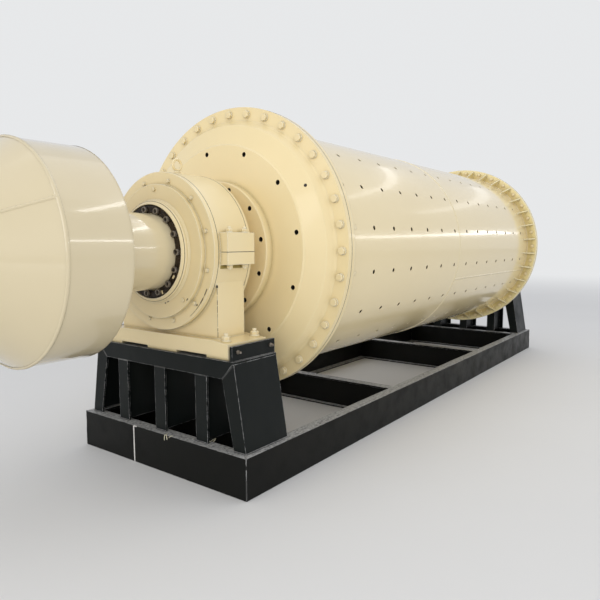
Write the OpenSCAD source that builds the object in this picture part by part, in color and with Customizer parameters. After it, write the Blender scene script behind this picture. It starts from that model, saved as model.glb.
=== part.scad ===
// Ball mill drum on two rolling trunnion bearings, pedestals and a channel skid.
// X runs from the feed end to the discharge end, Z is up, millimetres.
// The origin is on the floor, in the middle of the feed end beam's foot flange.

/* [Skid] */
// Length of the skid over its end beams
skid_l = 6075; // [6000:5:6600]
// Width of the skid over its long beams
skid_w = 1638; // [1600:2:1800]
// Height of the skid beams
beam_h = 262; // [200:2:320]
// Width of a skid beam's flanges
beam_flange_w = 90; // [70:2:110]
// Thickness of a skid beam's web
beam_web_t = 10; // [8:1:14]
// Thickness of a skid beam's flanges
beam_flange_t = 14; // [10:1:20]
// Cross beams beside the pedestals, from the nearer end of the skid
cross_end_at = 471; // [440:1:500]
// First middle cross beam, from the skid's feed end
cross_1_at = 1982; // [1200:2:2600]
// Second middle cross beam, from the skid's feed end
cross_2_at = 4067; // [3400:1:4800]

/* [Pedestals] */
// Length of a pedestal along the mill
pedestal_l = 400; // [380:2:440]
// Thickness of the pedestal plates
pedestal_t = 14; // [10:1:20]
// Depth of the lintel under a pedestal's top
lintel_h = 114; // [90:1:140]
// Width of the flanges of a pedestal's leaning sides
pedestal_side_w = 100; // [80:1:130]
// Gap between a pedestal and the nearer end of the skid
pedestal_gap = 45; // [0:1:60]
// Distance between a pedestal's foot and the outer face of the skid
pedestal_inset = 40; // [0:1:60]
// Width of the flanges of a middle post
post_w = 105; // [80:1:130]
// Distance between neighbouring middle posts
post_pitch = 400; // [340:1:420]
// Height of the stop plates on top of a pedestal
stop_h = 94; // [70:1:110]
// Thickness of the stop plates
stop_t = 20; // [14:1:30]
// Gap between a housing's foot and a stop plate
stop_gap = 35; // [20:1:45]
// Width of the pedestal's top outside a stop plate
stop_ledge = 12; // [4:1:20]

/* [Bearing housings] */
// Height of the drum's axis above the floor
axis_h = 1471; // [1440:1:1540]
// Outer radius of the round part of a housing
housing_r = 519; // [505:1:535]
// Length of a housing's body between its covers
housing_l = 276; // [260:2:300]
// Radius of the bore that holds the rolling bearing
housing_bore_r = 425; // [410:1:440]
// Width across a housing's bolting ears
ear_span = 1158; // [1140:2:1180]
// Height of a housing's ears above the split
ear_up = 121; // [100:1:150]
// Depth of a housing's ears below the split
ear_down = 79; // [50:1:100]
// Length of the ears and side columns along the mill
ear_l = 244; // [220:2:260]
// Radius of the holes for the studs of the ears
ear_hole_r = 15; // [12:1:18]
// Distance between the two stud holes of an ear
ear_hole_pitch = 136; // [110:2:160]
// Distance of the stud holes from the end of the ear
ear_hole_edge = 36; // [28:1:42]
// Width across a housing's side columns
column_span = 964; // [940:2:1000]
// Width of a housing's foot across the mill
foot_w = 1242; // [1200:2:1260]
// Gap between a cover and the top of a housing's foot
foot_gap = 26; // [16:1:36]
// Height of a housing's foot beside the columns
foot_h = 112; // [90:1:130]
// Height of a housing's foot at its ends
foot_end_h = 97; // [70:1:110]
// Length of a housing's foot along the mill
foot_l = 352; // [300:2:360]
// Width of the relief notches under a housing's foot
notch_w = 285; // [240:1:320]
// Distance of a notch's middle from the middle of the foot
notch_at = 290; // [250:1:320]
// Height of the relief notches
notch_h = 16; // [8:1:26]
// Thickness of the bolted covers
cover_t = 35; // [25:1:45]
// Chamfer around the inner cover
cover_chamfer = 12; // [4:1:18]
// Radius of the raised ring on the outer cover
cover_ring_r = 438; // [410:1:450]
// Height of the raised ring on the outer cover
cover_ring_h = 34; // [20:1:44]
// Radius of the lip around the outer cover's opening
cover_lip_r = 331; // [322:1:345]
// Width of the fillet around the lip's foot
cover_lip_fillet = 9; // [4:1:20]
// Height of the lip's shoulder above the cover's plate
cover_lip_h = 61; // [50:1:70]
// Height of the lip's nose above the cover's plate
cover_nose_h = 81; // [74:1:95]
// Radius of the opening in the covers
cover_bore_r = 305; // [303:1:312]
// Radius of the pad under a housing's lifting eye
eye_pad_r = 30; // [24:1:40]
// Height of the pad under a housing's lifting eye
eye_pad_h = 6; // [3:1:12]
// Radius of the round base of a lifting eye
eye_base_r = 22; // [16:1:24]
// Height of the round base of a lifting eye
eye_base_h = 14; // [8:1:20]
// Height of the middle of a lifting eye's ring above its pad
eye_h = 56; // [50:1:66]
// Radius of a lifting eye's ring to the middle of its bar
eye_ring_r = 36; // [30:1:42]
// Radius of the bar of a lifting eye
eye_bar_r = 9; // [7:1:12]

/* [Drum shell] */
// Outer radius of the shell
shell_r = 935; // [915:1:950]
// Thickness of the shell plate
shell_t = 20; // [14:1:26]
// Length of the shell over its bolting flanges
shell_l = 4592; // [4400:2:4620]
// Length of the feed course, from the shell's feed end to the weld
feed_course_l = 2199; // [1900:1:2500]
// Width of a bolting flange outside the shell
flange_w = 112; // [95:1:125]
// Thickness of each bolting flange plate
flange_t = 37; // [30:1:45]
// Distance of the flange bolts from the flange's rim
flange_bolt_edge = 50; // [40:1:56]
// Number of flange bolts
flange_bolts = 36; // [32:2:40]
// Radius of the flange bolt holes
flange_hole_r = 15; // [10:1:18]
// Number of gussets behind the discharge flange
gussets = 34; // [30:2:36]
// Length of a gusset along the shell
gusset_l = 180; // [120:1:206]
// Thickness of a gusset
gusset_t = 12; // [8:1:16]
// Height of a gusset at its far end
gusset_nose = 12; // [6:1:24]
// Distance of a gusset from the flange's rim
gusset_edge = 14; // [6:1:24]
// Radius of the liner bolt holes
liner_hole_r = 17; // [13:1:20]
// Number of rows of liner bolt holes around the shell
liner_rows = 18; // [16:2:20]
// Number of evenly spaced holes in a row
liner_holes = 13; // [11:1:13]
// Distance between the evenly spaced holes of a row
liner_pitch = 314; // [300:1:316]
// Distance from a row's first hole to its evenly spaced ones
liner_first_pitch = 269; // [240:1:290]
// Distance from the feed end of the shell to a row's first hole
liner_first_at = 247; // [230:1:270]

/* [End caps and trunnions] */
// Distance between the bearing's middle and the feed end of the shell
shell_gap = 556; // [500:1:620]
// Thickness of an end cap's wall
cap_wall = 60; // [40:1:70]
// How far the raised band stands outside the shell's radius
band_out = 5; // [0:1:10]
// Width of the fillet between the band and the flange
band_fillet = 14; // [6:1:20]
// Width of the band's sloping side
band_slope = 33; // [20:1:45]
// Height of the raised band above the joint plane
band_h = 101; // [92:1:112]
// Radius of the flat face in the middle of an end cap
face_r = 762; // [740:1:775]
// Height of the flat face above the joint plane
face_h = 157; // [140:1:168]
// Height of the small step around the flat face
face_step = 10; // [6:1:16]
// Width of the sloping corner inside an end cap
cap_corner = 30; // [15:1:40]
// Distance of the ring of liner bolt holes from the edge of the flat face
cap_hole_edge = 43; // [30:1:60]
// Number of holes in each ring of an end cap
cap_holes = 12; // [8:2:16]
// Turn of the rings of holes from the top, in degrees
cap_hole_turn = 20; // [0:1:29]
// Radius of a trunnion's bolting flange
hub_r = 500; // [485:1:515]
// Thickness of a trunnion's bolting flange
hub_t = 62; // [50:1:80]
// Distance of the ring of holes from the edge of a trunnion's flange
hub_hole_edge = 45; // [32:1:60]
// Chamfer around a trunnion's flange
hub_chamfer = 6; // [2:1:12]
// Radius of the fillet between a trunnion's flange and its neck
neck_fillet = 36; // [24:1:44]
// Radius of a trunnion's journal
journal_r = 292; // [285:1:296]
// Radius of a trunnion's bore
trunnion_bore_r = 249; // [240:1:256]
// Radius of the spigot that centres a trunnion in its end cap
spigot_r = 330; // [310:1:350]

/* [Feed and discharge] */
// Wall of the feed and discharge pipes
pipe_t = 12; // [8:1:16]
// Thickness of the dark retaining rings
ring_t = 22; // [16:1:28]
// Gap around a retaining ring in its cover's opening
ring_gap = 6; // [4:1:12]
// Depth of a retaining ring behind the nose of its cover
ring_recess = 3; // [0:1:10]
// Radius of the drum feeder
feeder_r = 599; // [560:1:640]
// Length of the drum feeder's cylinder
feeder_l = 363; // [300:1:420]
// Gap between the drum feeder and the nose of the feed bearing's cover
feeder_gap = 561; // [500:1:640]
// Plate thickness of the drum feeder
feeder_t = 10; // [6:1:14]
// Length of the drum feeder's cone
feeder_cone_l = 397; // [320:1:460]
// Plate thickness of the drum feeder's cone
cone_t = 13; // [8:1:18]
// Radius of the drum feeder's mouth
mouth_r = 270; // [250:1:320]
// Length of the collar around the mouth
mouth_collar_l = 45; // [30:1:70]
// How far the discharge pipe stands out of the nose of its bearing's cover
outlet_l = 180; // [120:5:260]

/* [Hidden] */
// Running clearance of a journal in its bearing
running = 0.05;
// Clearance of a piece that slides into another one
slip = 0.3;
// How far a cutting shape runs past what it cuts
past = 1;
// Facets of the round surfaces
$fn = 96;
// Facets of the bolt holes and the lifting eyes
hole_fn = 24;
// Steps of the fillet between a trunnion's flange and its neck
fillet_steps = 8;

skid_x0 = -beam_flange_w / 2;
skid_x1 = skid_x0 + skid_l;
pedestal_x0 = skid_x0 + pedestal_gap;
top_half = foot_w / 2 + stop_gap + stop_t + stop_ledge;
base_half = skid_w / 2 - pedestal_inset;
pedestal_top_h = axis_h - housing_r - foot_gap - foot_h;
feed_bearing_x = pedestal_x0 + pedestal_l / 2;
discharge_bearing_x = skid_x0 + skid_x1 - feed_bearing_x;
shell_x0 = feed_bearing_x + shell_gap;
shell_x1 = shell_x0 + shell_l;
weld_x = shell_x0 + feed_course_l;
half_l = housing_l / 2;
nose_x = half_l + cover_t + cover_nose_h;
foot_z = pedestal_top_h - axis_h;
ear_hole_y = ear_span / 2 - ear_hole_edge;
ring_r = cover_bore_r - ring_gap;
flange_r = shell_r + flange_w;
flange_bolt_r = flange_r - flange_bolt_edge;
band_r = shell_r + band_out;
band_top_r = band_r - band_slope;
cap_hole_ring_r = face_r - cap_hole_edge;
hub_hole_ring_r = hub_r - hub_hole_edge;
pipe_r = trunnion_bore_r - slip;
feed_end_x = feed_bearing_x - nose_x + ring_recess + ring_t;
discharge_end_x = discharge_bearing_x + nose_x - ring_recess - ring_t;
feeder_back_x = feed_bearing_x - nose_x - feeder_gap;
feeder_front_x = feeder_back_x - feeder_l;
mouth_x = feeder_front_x - feeder_cone_l;
outlet_x = discharge_bearing_x + nose_x + outlet_l;
cream = "#dcd2a8";
deep_cream = "#dcc892";
black_paint = "#1c1e20";
oily_steel = "#3a3027";
bearing_steel = "#8a8d90";

// Channel section in the XY plane: web on Y = 0, flanges towards +Y, height along X.
module channel_section(height, flange, web, flange_thick) {
  difference() {
    square([height, flange]);
    translate([flange_thick, web]) square([height - 2 * flange_thick, flange]);
  }
}

// One skid beam along +X with its web on Y = 0 and its ends mitred for the corners.
module mitred_beam(length) {
  w = beam_flange_w;
  intersection() {
    rotate([90, 0, 90]) linear_extrude(length)
      mirror([1, 0]) rotate(90) channel_section(beam_h, w, beam_web_t, beam_flange_t);
    linear_extrude(beam_h)
      polygon([[0, 0], [length, 0], [length - w, w], [w, w]]);
  }
}

module skid_beam_near() {
  color(black_paint) translate([skid_x0, -skid_w / 2, 0]) mitred_beam(skid_l);
}

module skid_beam_far() {
  color(black_paint) translate([skid_x1, skid_w / 2, 0]) rotate(180) mitred_beam(skid_l);
}

module skid_beam_feed_end() {
  color(black_paint) translate([skid_x0, skid_w / 2, 0]) rotate(-90) mitred_beam(skid_w);
}

module skid_beam_discharge_end() {
  color(black_paint) translate([skid_x1, -skid_w / 2, 0]) rotate(90) mitred_beam(skid_w);
}

// Cross beam at x, coped so that its web reaches the long beams' webs between their flanges.
module cross_beam(x) {
  w = beam_flange_w;
  inner_l = skid_w - 2 * w;
  web_l = skid_w - 2 * beam_web_t;
  translate([x - w / 2, -inner_l / 2, 0]) cube([w, inner_l, beam_flange_t]);
  translate([x - w / 2, -inner_l / 2, beam_h - beam_flange_t]) cube([w, inner_l, beam_flange_t]);
  translate([x - beam_web_t / 2, -web_l / 2, beam_flange_t])
    cube([beam_web_t, web_l, beam_h - 2 * beam_flange_t]);
}

module skid_cross_beams() {
  color(black_paint) {
    cross_beam(skid_x0 + cross_end_at);
    cross_beam(skid_x0 + cross_1_at);
    cross_beam(skid_x0 + cross_2_at);
    cross_beam(skid_x1 - cross_end_at);
  }
}

// Pedestal pieces are drawn for the feed end; at_discharge turns them round for the other end.
module at_discharge() {
  translate([skid_x0 + skid_x1, 0, 0]) rotate(180) children();
}

// Outline in the YZ plane, extruded along X from x0 over a length.
module along_x(x0, length) {
  translate([x0, 0, 0]) rotate([90, 0, 90]) linear_extrude(length) children();
}

// Lintel: a channel lying on its flanges, web up, with a mitre to the leaning sides.
module pedestal_top() {
  a = top_half;
  t = pedestal_t;
  w = pedestal_side_w;
  low = pedestal_top_h - lintel_h;
  mid = pedestal_top_h - t;
  difference() {
    along_x(pedestal_x0, pedestal_l) polygon([
      [-a, pedestal_top_h], [a, pedestal_top_h], [a, mid], [a - t, mid],
      [a - w, low], [w - a, low], [t - a, mid], [-a, mid]
    ]);
    translate([pedestal_x0 + t, -a, low - past])
      cube([pedestal_l - 2 * t, 2 * a, lintel_h - t + past]);
  }
}

// One leaning side channel on side s: web outwards, flanges meet the lintel in a mitre.
module pedestal_side(s) {
  t = pedestal_t;
  w = pedestal_side_w;
  low = pedestal_top_h - lintel_h;
  mid = pedestal_top_h - t;
  lean = (base_half - top_half) / (mid - beam_h);
  difference() {
    along_x(pedestal_x0, pedestal_l) polygon([
      [s * top_half, mid], [s * base_half, beam_h], [s * (base_half - w), beam_h],
      [s * (top_half - w), low], [s * (top_half - t), mid]
    ]);
    along_x(pedestal_x0 + t, pedestal_l - 2 * t) polygon([
      [s * (top_half - t - lean * past), mid + past],
      [s * (base_half - t + lean * past), beam_h - past],
      [0, beam_h - past], [0, mid + past]
    ]);
  }
}

// Three posts of I section under the lintel.
module pedestal_posts() {
  t = pedestal_t;
  for (k = [-1, 0, 1]) {
    y = k * post_pitch;
    for (x = [pedestal_x0, pedestal_x0 + pedestal_l - t])
      translate([x, y - post_w / 2, beam_h]) cube([t, post_w, pedestal_top_h - lintel_h - beam_h]);
    translate([pedestal_x0 + t, y - t / 2, beam_h])
      cube([pedestal_l - 2 * t, t, pedestal_top_h - t - beam_h]);
  }
}

// Stop plates that hold the bearing's foot sideways.
module pedestal_stops() {
  inner = foot_w / 2 + stop_gap;
  for (y = [-inner - stop_t, inner])
    translate([pedestal_x0, y, pedestal_top_h]) cube([pedestal_l, stop_t, stop_h]);
}

module pedestal_top_feed() { color(black_paint) pedestal_top(); }
module pedestal_side_near_feed() { color(black_paint) pedestal_side(-1); }
module pedestal_side_far_feed() { color(black_paint) pedestal_side(1); }
module pedestal_posts_feed() { color(black_paint) pedestal_posts(); }
module pedestal_stops_feed() { color(black_paint) pedestal_stops(); }
module pedestal_top_discharge() { color(black_paint) at_discharge() pedestal_top(); }
module pedestal_side_near_discharge() { color(black_paint) at_discharge() pedestal_side(1); }
module pedestal_side_far_discharge() { color(black_paint) at_discharge() pedestal_side(-1); }
module pedestal_posts_discharge() { color(black_paint) at_discharge() pedestal_posts(); }
module pedestal_stops_discharge() { color(black_paint) at_discharge() pedestal_stops(); }

// Housing pieces are drawn round X = 0 with the axis on Z = 0 and the outer side towards -X.
module at_feed_bearing() {
  translate([feed_bearing_x, 0, axis_h]) children();
}

module at_discharge_bearing() {
  translate([discharge_bearing_x, 0, axis_h]) rotate(180) children();
}

// Solid of revolution about X from points [radius, x].
module turned(points) {
  rotate([0, 90, 0]) rotate_extrude() polygon([for (p = points) [p[0], p[1]]]);
}

module rod_x(r, x0, x1) {
  translate([x0, 0, 0]) rotate([0, 90, 0]) cylinder(r = r, h = x1 - x0);
}

module tube_x(outer, inner, x0, x1) {
  difference() {
    rod_x(outer, x0, x1);
    rod_x(inner, x0 - past, x1 + past);
  }
}

// Block that is centred on X and Y, from z0 up.
module block(l, w, z0, h) {
  translate([-l / 2, -w / 2, z0]) cube([l, w, h]);
}

module ear_holes() {
  for (x = [-1, 1], y = [-1, 1])
    translate([x * ear_hole_pitch / 2, y * ear_hole_y, -ear_down - past])
      cylinder(r = ear_hole_r, h = ear_up + ear_down + 2 * past, $fn = hole_fn);
}

// Cast lower half: foot with sloping ends and relief notches, columns, ears and half of the bore.
module bearing_base() {
  foot_half = foot_w / 2;
  difference() {
    union() {
      intersection() {
        tube_x(housing_r, housing_bore_r, -half_l, half_l);
        block(housing_l, 2 * housing_r, -housing_r, housing_r);
      }
      block(ear_l, column_span, foot_z, -foot_z);
      block(ear_l, ear_span, -ear_down, ear_down);
      translate([0, 0, foot_z]) along_x(-foot_l / 2, foot_l) polygon([
        [-foot_half, 0], [foot_half, 0], [foot_half, foot_end_h], [column_span / 2, foot_h],
        [-column_span / 2, foot_h], [-foot_half, foot_end_h]
      ]);
    }
    rod_x(housing_bore_r, -half_l - past, half_l + past);
    ear_holes();
    for (s = [-1, 1])
      translate([0, s * notch_at, 0]) block(foot_l + 2 * past, notch_w, foot_z - past, notch_h + past);
  }
}

// Cast upper half: half ring, ears and the pad for the lifting eye.
module bearing_cap() {
  difference() {
    union() {
      intersection() {
        tube_x(housing_r, housing_bore_r, -half_l, half_l);
        block(housing_l, 2 * housing_r, 0, housing_r);
      }
      block(ear_l, ear_span, 0, ear_up);
      translate([0, 0, housing_bore_r + eye_pad_r])
        cylinder(r = eye_pad_r, h = housing_r + eye_pad_h - housing_bore_r - eye_pad_r, $fn = hole_fn);
    }
    rod_x(housing_bore_r, -half_l - past, half_l + past);
    ear_holes();
  }
}

// Outer cover: plate, raised ring and a lip whose nose slopes in to the opening.
module bearing_outer_cover() {
  plate = -half_l - cover_t;
  bevel = cover_lip_r - cover_bore_r;
  turned([
    [cover_bore_r, -half_l], [housing_r, -half_l], [housing_r, plate],
    [cover_ring_r, plate], [cover_ring_r, plate - cover_ring_h],
    [cover_lip_r + cover_lip_fillet, plate - cover_ring_h],
    [cover_lip_r, plate - cover_ring_h - cover_lip_fillet], [cover_lip_r, plate - cover_lip_h],
    [cover_bore_r + bevel / 4, plate - cover_nose_h], [cover_bore_r, plate - cover_nose_h]
  ]);
}

module bearing_inner_cover() {
  turned([
    [cover_bore_r, half_l], [cover_bore_r, half_l + cover_t],
    [housing_r - cover_chamfer, half_l + cover_t],
    [housing_r, half_l + cover_t - cover_chamfer], [housing_r, half_l]
  ]);
}

module roller_bearing() {
  tube_x(housing_bore_r, journal_r + running, -half_l, half_l);
}

module lifting_eye() {
  translate([0, 0, housing_r + eye_pad_h]) {
    cylinder(r = eye_base_r, h = eye_base_h, $fn = hole_fn);
    cylinder(r = eye_bar_r, h = eye_h - eye_ring_r, $fn = hole_fn);
    translate([0, 0, eye_h]) rotate([90, 0, 0]) rotate_extrude($fn = hole_fn)
      translate([eye_ring_r, 0]) circle(r = eye_bar_r, $fn = hole_fn);
  }
}

module bearing_base_feed() { color(deep_cream) at_feed_bearing() bearing_base(); }
module bearing_cap_feed() { color(deep_cream) at_feed_bearing() bearing_cap(); }
module bearing_outer_cover_feed() { color(deep_cream) at_feed_bearing() bearing_outer_cover(); }
module bearing_inner_cover_feed() { color(deep_cream) at_feed_bearing() bearing_inner_cover(); }
module roller_bearing_feed() { color(bearing_steel) at_feed_bearing() roller_bearing(); }
module lifting_eye_feed() { color(deep_cream) at_feed_bearing() lifting_eye(); }
module bearing_base_discharge() { color(deep_cream) at_discharge_bearing() bearing_base(); }
module bearing_cap_discharge() { color(deep_cream) at_discharge_bearing() bearing_cap(); }
module bearing_outer_cover_discharge() { color(deep_cream) at_discharge_bearing() bearing_outer_cover(); }
module bearing_inner_cover_discharge() { color(deep_cream) at_discharge_bearing() bearing_inner_cover(); }
module roller_bearing_discharge() { color(bearing_steel) at_discharge_bearing() roller_bearing(); }
module lifting_eye_discharge() { color(deep_cream) at_discharge_bearing() lifting_eye(); }

// Pieces of the drum's ends are drawn from the joint plane at X = 0 outwards towards -X.
module at_shell_feed() {
  translate([shell_x0, 0, axis_h]) children();
}

module at_shell_discharge() {
  translate([shell_x1, 0, axis_h]) rotate(180) children();
}

// Ring of holes along X between x0 and x1, the first one turned by turn degrees from the top.
module ring_holes(ring, count, r, x0, x1, turn) {
  for (k = [0:count - 1])
    rotate([k * 360 / count + turn, 0, 0]) translate([x0, 0, ring]) rotate([0, 90, 0])
      cylinder(r = r, h = x1 - x0, $fn = hole_fn);
}

// Radial liner bolt holes at x, all round the shell.
module liner_hole_ring(x) {
  for (k = [0:liner_rows - 1])
    translate([x, 0, axis_h]) rotate([k * 360 / liner_rows, 0, 0]) translate([0, 0, shell_r - 3 * shell_t])
      cylinder(r = liner_hole_r, h = 6 * shell_t, $fn = hole_fn);
}

liner_x = [
  shell_x0 + liner_first_at,
  for (k = [0:liner_holes - 1]) shell_x0 + liner_first_at + liner_first_pitch + k * liner_pitch
];

module shell_course(x0, x1) {
  difference() {
    translate([0, 0, axis_h]) tube_x(shell_r, shell_r - shell_t, x0, x1);
    for (x = liner_x)
      if (x > x0 && x < x1) liner_hole_ring(x);
  }
}

module shell_course_feed() { color(cream) shell_course(shell_x0, weld_x); }
module shell_course_discharge() { color(cream) shell_course(weld_x, shell_x1); }

module shell_flange() {
  difference() {
    tube_x(flange_r, shell_r, 0, flange_t);
    ring_holes(flange_bolt_r, flange_bolts, flange_hole_r, -past, flange_t + past, 0);
  }
}

// Tapered gusset plate at the top of the shell, its root a little inside the flange and the shell.
module gusset() {
  root = gusset_t / 3;
  translate([flange_t, gusset_t / 2, 0]) rotate([90, 0, 0]) linear_extrude(gusset_t)
    polygon([
      [-root, shell_r - root], [gusset_l, shell_r - root], [gusset_l, shell_r + gusset_nose],
      [2 * root, flange_r - gusset_edge], [-root, flange_r - gusset_edge]
    ]);
}

// Discharge flange: flange ring with a crown of gussets that end on the shell's surface.
module shell_flange_gusseted() {
  difference() {
    union() {
      tube_x(flange_r, shell_r, 0, flange_t);
      difference() {
        for (k = [0:gussets - 1]) rotate([k * 360 / gussets, 0, 0]) gusset();
        rod_x(shell_r, flange_t / 2, flange_t + gusset_l + past);
      }
    }
    ring_holes(flange_bolt_r, gussets, flange_hole_r, -past, flange_t + past, 180 / gussets);
  }
}

module shell_flange_feed() { color(cream) at_shell_feed() shell_flange(); }
module shell_flange_discharge() { color(cream) at_shell_discharge() shell_flange_gusseted(); }

// Cast end cap: bolting flange, raised band, shallow cone and flat face with its ring of holes.
module end_cap(bolts, bolt_turn, hole_turn) {
  inner_r = shell_r - shell_t;
  soft = face_step / 2;
  difference() {
    turned([
      [inner_r, 0], [flange_r, 0], [flange_r, -flange_t], [band_r + band_fillet, -flange_t],
      [band_r, -flange_t - band_fillet], [band_top_r + soft, -band_h + soft],
      [band_top_r - soft, -band_h], [face_r + face_step, -face_h + face_step],
      [face_r, -face_h], [spigot_r + slip, -face_h], [spigot_r + slip, -face_h + cap_wall],
      [face_r - face_step, -face_h + cap_wall], [inner_r - cap_corner, -band_h + cap_wall]
    ]);
    ring_holes(flange_bolt_r, bolts, flange_hole_r, -flange_t - past, past, bolt_turn);
    ring_holes(cap_hole_ring_r, cap_holes, liner_hole_r, -face_h - past, past, hole_turn);
  }
}

module end_cap_feed() {
  color(deep_cream) at_shell_feed() end_cap(flange_bolts, 0, cap_hole_turn);
}
module end_cap_discharge() {
  color(deep_cream) at_shell_discharge() end_cap(gussets, 180 / gussets, -cap_hole_turn);
}

// Hollow trunnion from its spigot in the end cap to the retaining ring, end_x from the joint plane.
module trunnion(end_x, hole_turn) {
  hub_x = -face_h - hub_t;
  neck = [
    for (k = [0:fillet_steps]) let (a = 90 * k / fillet_steps)
      [journal_r + neck_fillet * (1 - sin(a)), hub_x - neck_fillet * (1 - cos(a))]
  ];
  difference() {
    turned(concat(
      [[trunnion_bore_r, -face_h + cap_wall], [spigot_r, -face_h + cap_wall], [spigot_r, -face_h],
       [hub_r, -face_h], [hub_r, hub_x + hub_chamfer], [hub_r - hub_chamfer, hub_x]],
      neck,
      [[journal_r, end_x], [trunnion_bore_r, end_x]]
    ));
    ring_holes(hub_hole_ring_r, cap_holes, liner_hole_r, hub_x - past, -face_h + past, hole_turn);
  }
}

module trunnion_feed() {
  color(deep_cream) at_shell_feed() trunnion(feed_end_x - shell_x0, cap_hole_turn);
}
module trunnion_discharge() {
  color(deep_cream) at_shell_discharge() trunnion(shell_x1 - discharge_end_x, -cap_hole_turn);
}

// Dark ring bolted to the trunnion's end, seen in the cover's opening.
module retaining_ring() {
  tube_x(ring_r, pipe_r + ring_gap, -ring_t, 0);
}

module retaining_ring_feed() {
  color(oily_steel) translate([feed_end_x, 0, axis_h]) retaining_ring();
}

module retaining_ring_discharge() {
  color(oily_steel) translate([discharge_end_x, 0, axis_h]) rotate(180) retaining_ring();
}

module feed_pipe() {
  color(cream) translate([0, 0, axis_h])
    tube_x(pipe_r, pipe_r - pipe_t, feeder_back_x, shell_x0 - face_h + cap_wall);
}

module discharge_pipe() {
  color(cream) translate([0, 0, axis_h])
    tube_x(pipe_r, pipe_r - pipe_t, shell_x1 + face_h - cap_wall, outlet_x);
}

// Drum feeder: cylinder with a back plate that is welded round the feed pipe's end.
module feeder_drum() {
  inside = feeder_r - feeder_t;
  color(cream) translate([0, 0, axis_h])
    turned([
      [inside, feeder_front_x], [feeder_r, feeder_front_x], [feeder_r, feeder_back_x],
      [pipe_r - pipe_t, feeder_back_x], [pipe_r - pipe_t, feeder_back_x - feeder_t],
      [inside, feeder_back_x - feeder_t]
    ]);
}

// Cone and mouth collar in front of the drum feeder.
module feeder_cone() {
  end_x = mouth_x - mouth_collar_l;
  color(cream) translate([0, 0, axis_h])
    turned([
      [feeder_r - cone_t, feeder_front_x], [mouth_r - cone_t, mouth_x], [mouth_r - cone_t, end_x],
      [mouth_r, end_x], [mouth_r, mouth_x], [feeder_r, feeder_front_x]
    ]);
}

skid_beam_near();
skid_beam_far();
skid_beam_feed_end();
skid_beam_discharge_end();
skid_cross_beams();
pedestal_top_feed();
pedestal_side_near_feed();
pedestal_side_far_feed();
pedestal_posts_feed();
pedestal_stops_feed();
pedestal_top_discharge();
pedestal_side_near_discharge();
pedestal_side_far_discharge();
pedestal_posts_discharge();
pedestal_stops_discharge();
bearing_base_feed();
bearing_cap_feed();
bearing_outer_cover_feed();
bearing_inner_cover_feed();
roller_bearing_feed();
lifting_eye_feed();
bearing_base_discharge();
bearing_cap_discharge();
bearing_outer_cover_discharge();
bearing_inner_cover_discharge();
roller_bearing_discharge();
lifting_eye_discharge();
shell_course_feed();
shell_course_discharge();
shell_flange_feed();
shell_flange_discharge();
end_cap_feed();
end_cap_discharge();
trunnion_feed();
trunnion_discharge();
retaining_ring_feed();
retaining_ring_discharge();
feed_pipe();
discharge_pipe();
feeder_drum();
feeder_cone();
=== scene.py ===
# %% [markdown]
# # Dressing a ball mill
# A ball mill is a plate drum that turns in two bearing housings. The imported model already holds
# its true shapes and sizes. This lesson adds what a paint shop and a fitter add: paint, bolts,
# welds, dust and oil. Everything is in metres, and every piece stands where the model says.

import math
import random

import bmesh
import bpy
from mathutils import Matrix, Vector


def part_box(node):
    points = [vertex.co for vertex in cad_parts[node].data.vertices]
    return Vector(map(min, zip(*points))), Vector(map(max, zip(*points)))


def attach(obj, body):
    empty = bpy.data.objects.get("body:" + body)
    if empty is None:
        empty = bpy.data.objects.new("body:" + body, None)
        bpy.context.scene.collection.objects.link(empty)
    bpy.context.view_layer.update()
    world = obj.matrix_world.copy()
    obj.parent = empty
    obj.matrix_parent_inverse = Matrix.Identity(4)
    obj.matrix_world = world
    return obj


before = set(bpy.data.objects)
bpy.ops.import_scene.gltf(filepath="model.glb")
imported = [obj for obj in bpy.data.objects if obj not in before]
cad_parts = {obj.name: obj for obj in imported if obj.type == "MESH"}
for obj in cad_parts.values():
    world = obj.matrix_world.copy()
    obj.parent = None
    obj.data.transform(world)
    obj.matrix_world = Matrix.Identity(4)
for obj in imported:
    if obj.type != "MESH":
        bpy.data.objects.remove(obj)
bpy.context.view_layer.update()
print("model nodes:", len(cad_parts))

# %% [markdown]
# The drum's axis runs along +X. Reading its height and the seats of the bolts from the model,
# and not typing them again, keeps every piece on its seat if a size of the model changes.

# %% Read the seats from the model
def low(name):
    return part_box(name)[0]


def high(name):
    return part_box(name)[1]


def radius_of(name):
    return (high(name).z - low(name).z) / 2


def housing_middle(end):
    return (low("bearing_base_" + end).x + high("bearing_base_" + end).x) / 2


axis_z = (low("end_cap_feed").z + high("end_cap_feed").z) / 2
feed_joint_x = high("end_cap_feed").x
discharge_joint_x = low("end_cap_discharge").x
drum_middle_x = (feed_joint_x + discharge_joint_x) / 2
cap_face_reach = drum_middle_x - low("end_cap_feed").x
feed_flange_x = high("shell_flange_feed").x
weld_x = high("shell_course_feed").x
shell_radius = radius_of("shell_course_feed")
flange_radius = radius_of("shell_flange_feed")
print("axis height %.3f, shell radius %.3f, flange radius %.3f" % (axis_z, shell_radius, flange_radius))

# %% [markdown]
# A box tells only how far a node reaches. The seats inside it need a few more of the model's sizes.

# %% Sizes that the boxes don't tell
flange_thick = 0.037
hub_thick = 0.062
cover_plate = 0.035
cover_ring = 0.034
housing_radius = 0.519
ear_half = 0.122
ear_end_y = 0.579
ear_top = 0.121
ear_bottom = 0.079
column_y = -0.482
print("drum flanges %.0f mm thick" % (flange_thick * 1000))

# %% [markdown]
# ## The camera
# The camera stands a little left of the mill's feed end, at a standing person's chest height, and
# looks slightly down. Its place and lens were found by fitting a pinhole camera to the circles and
# straight edges of the photograph.

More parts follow.
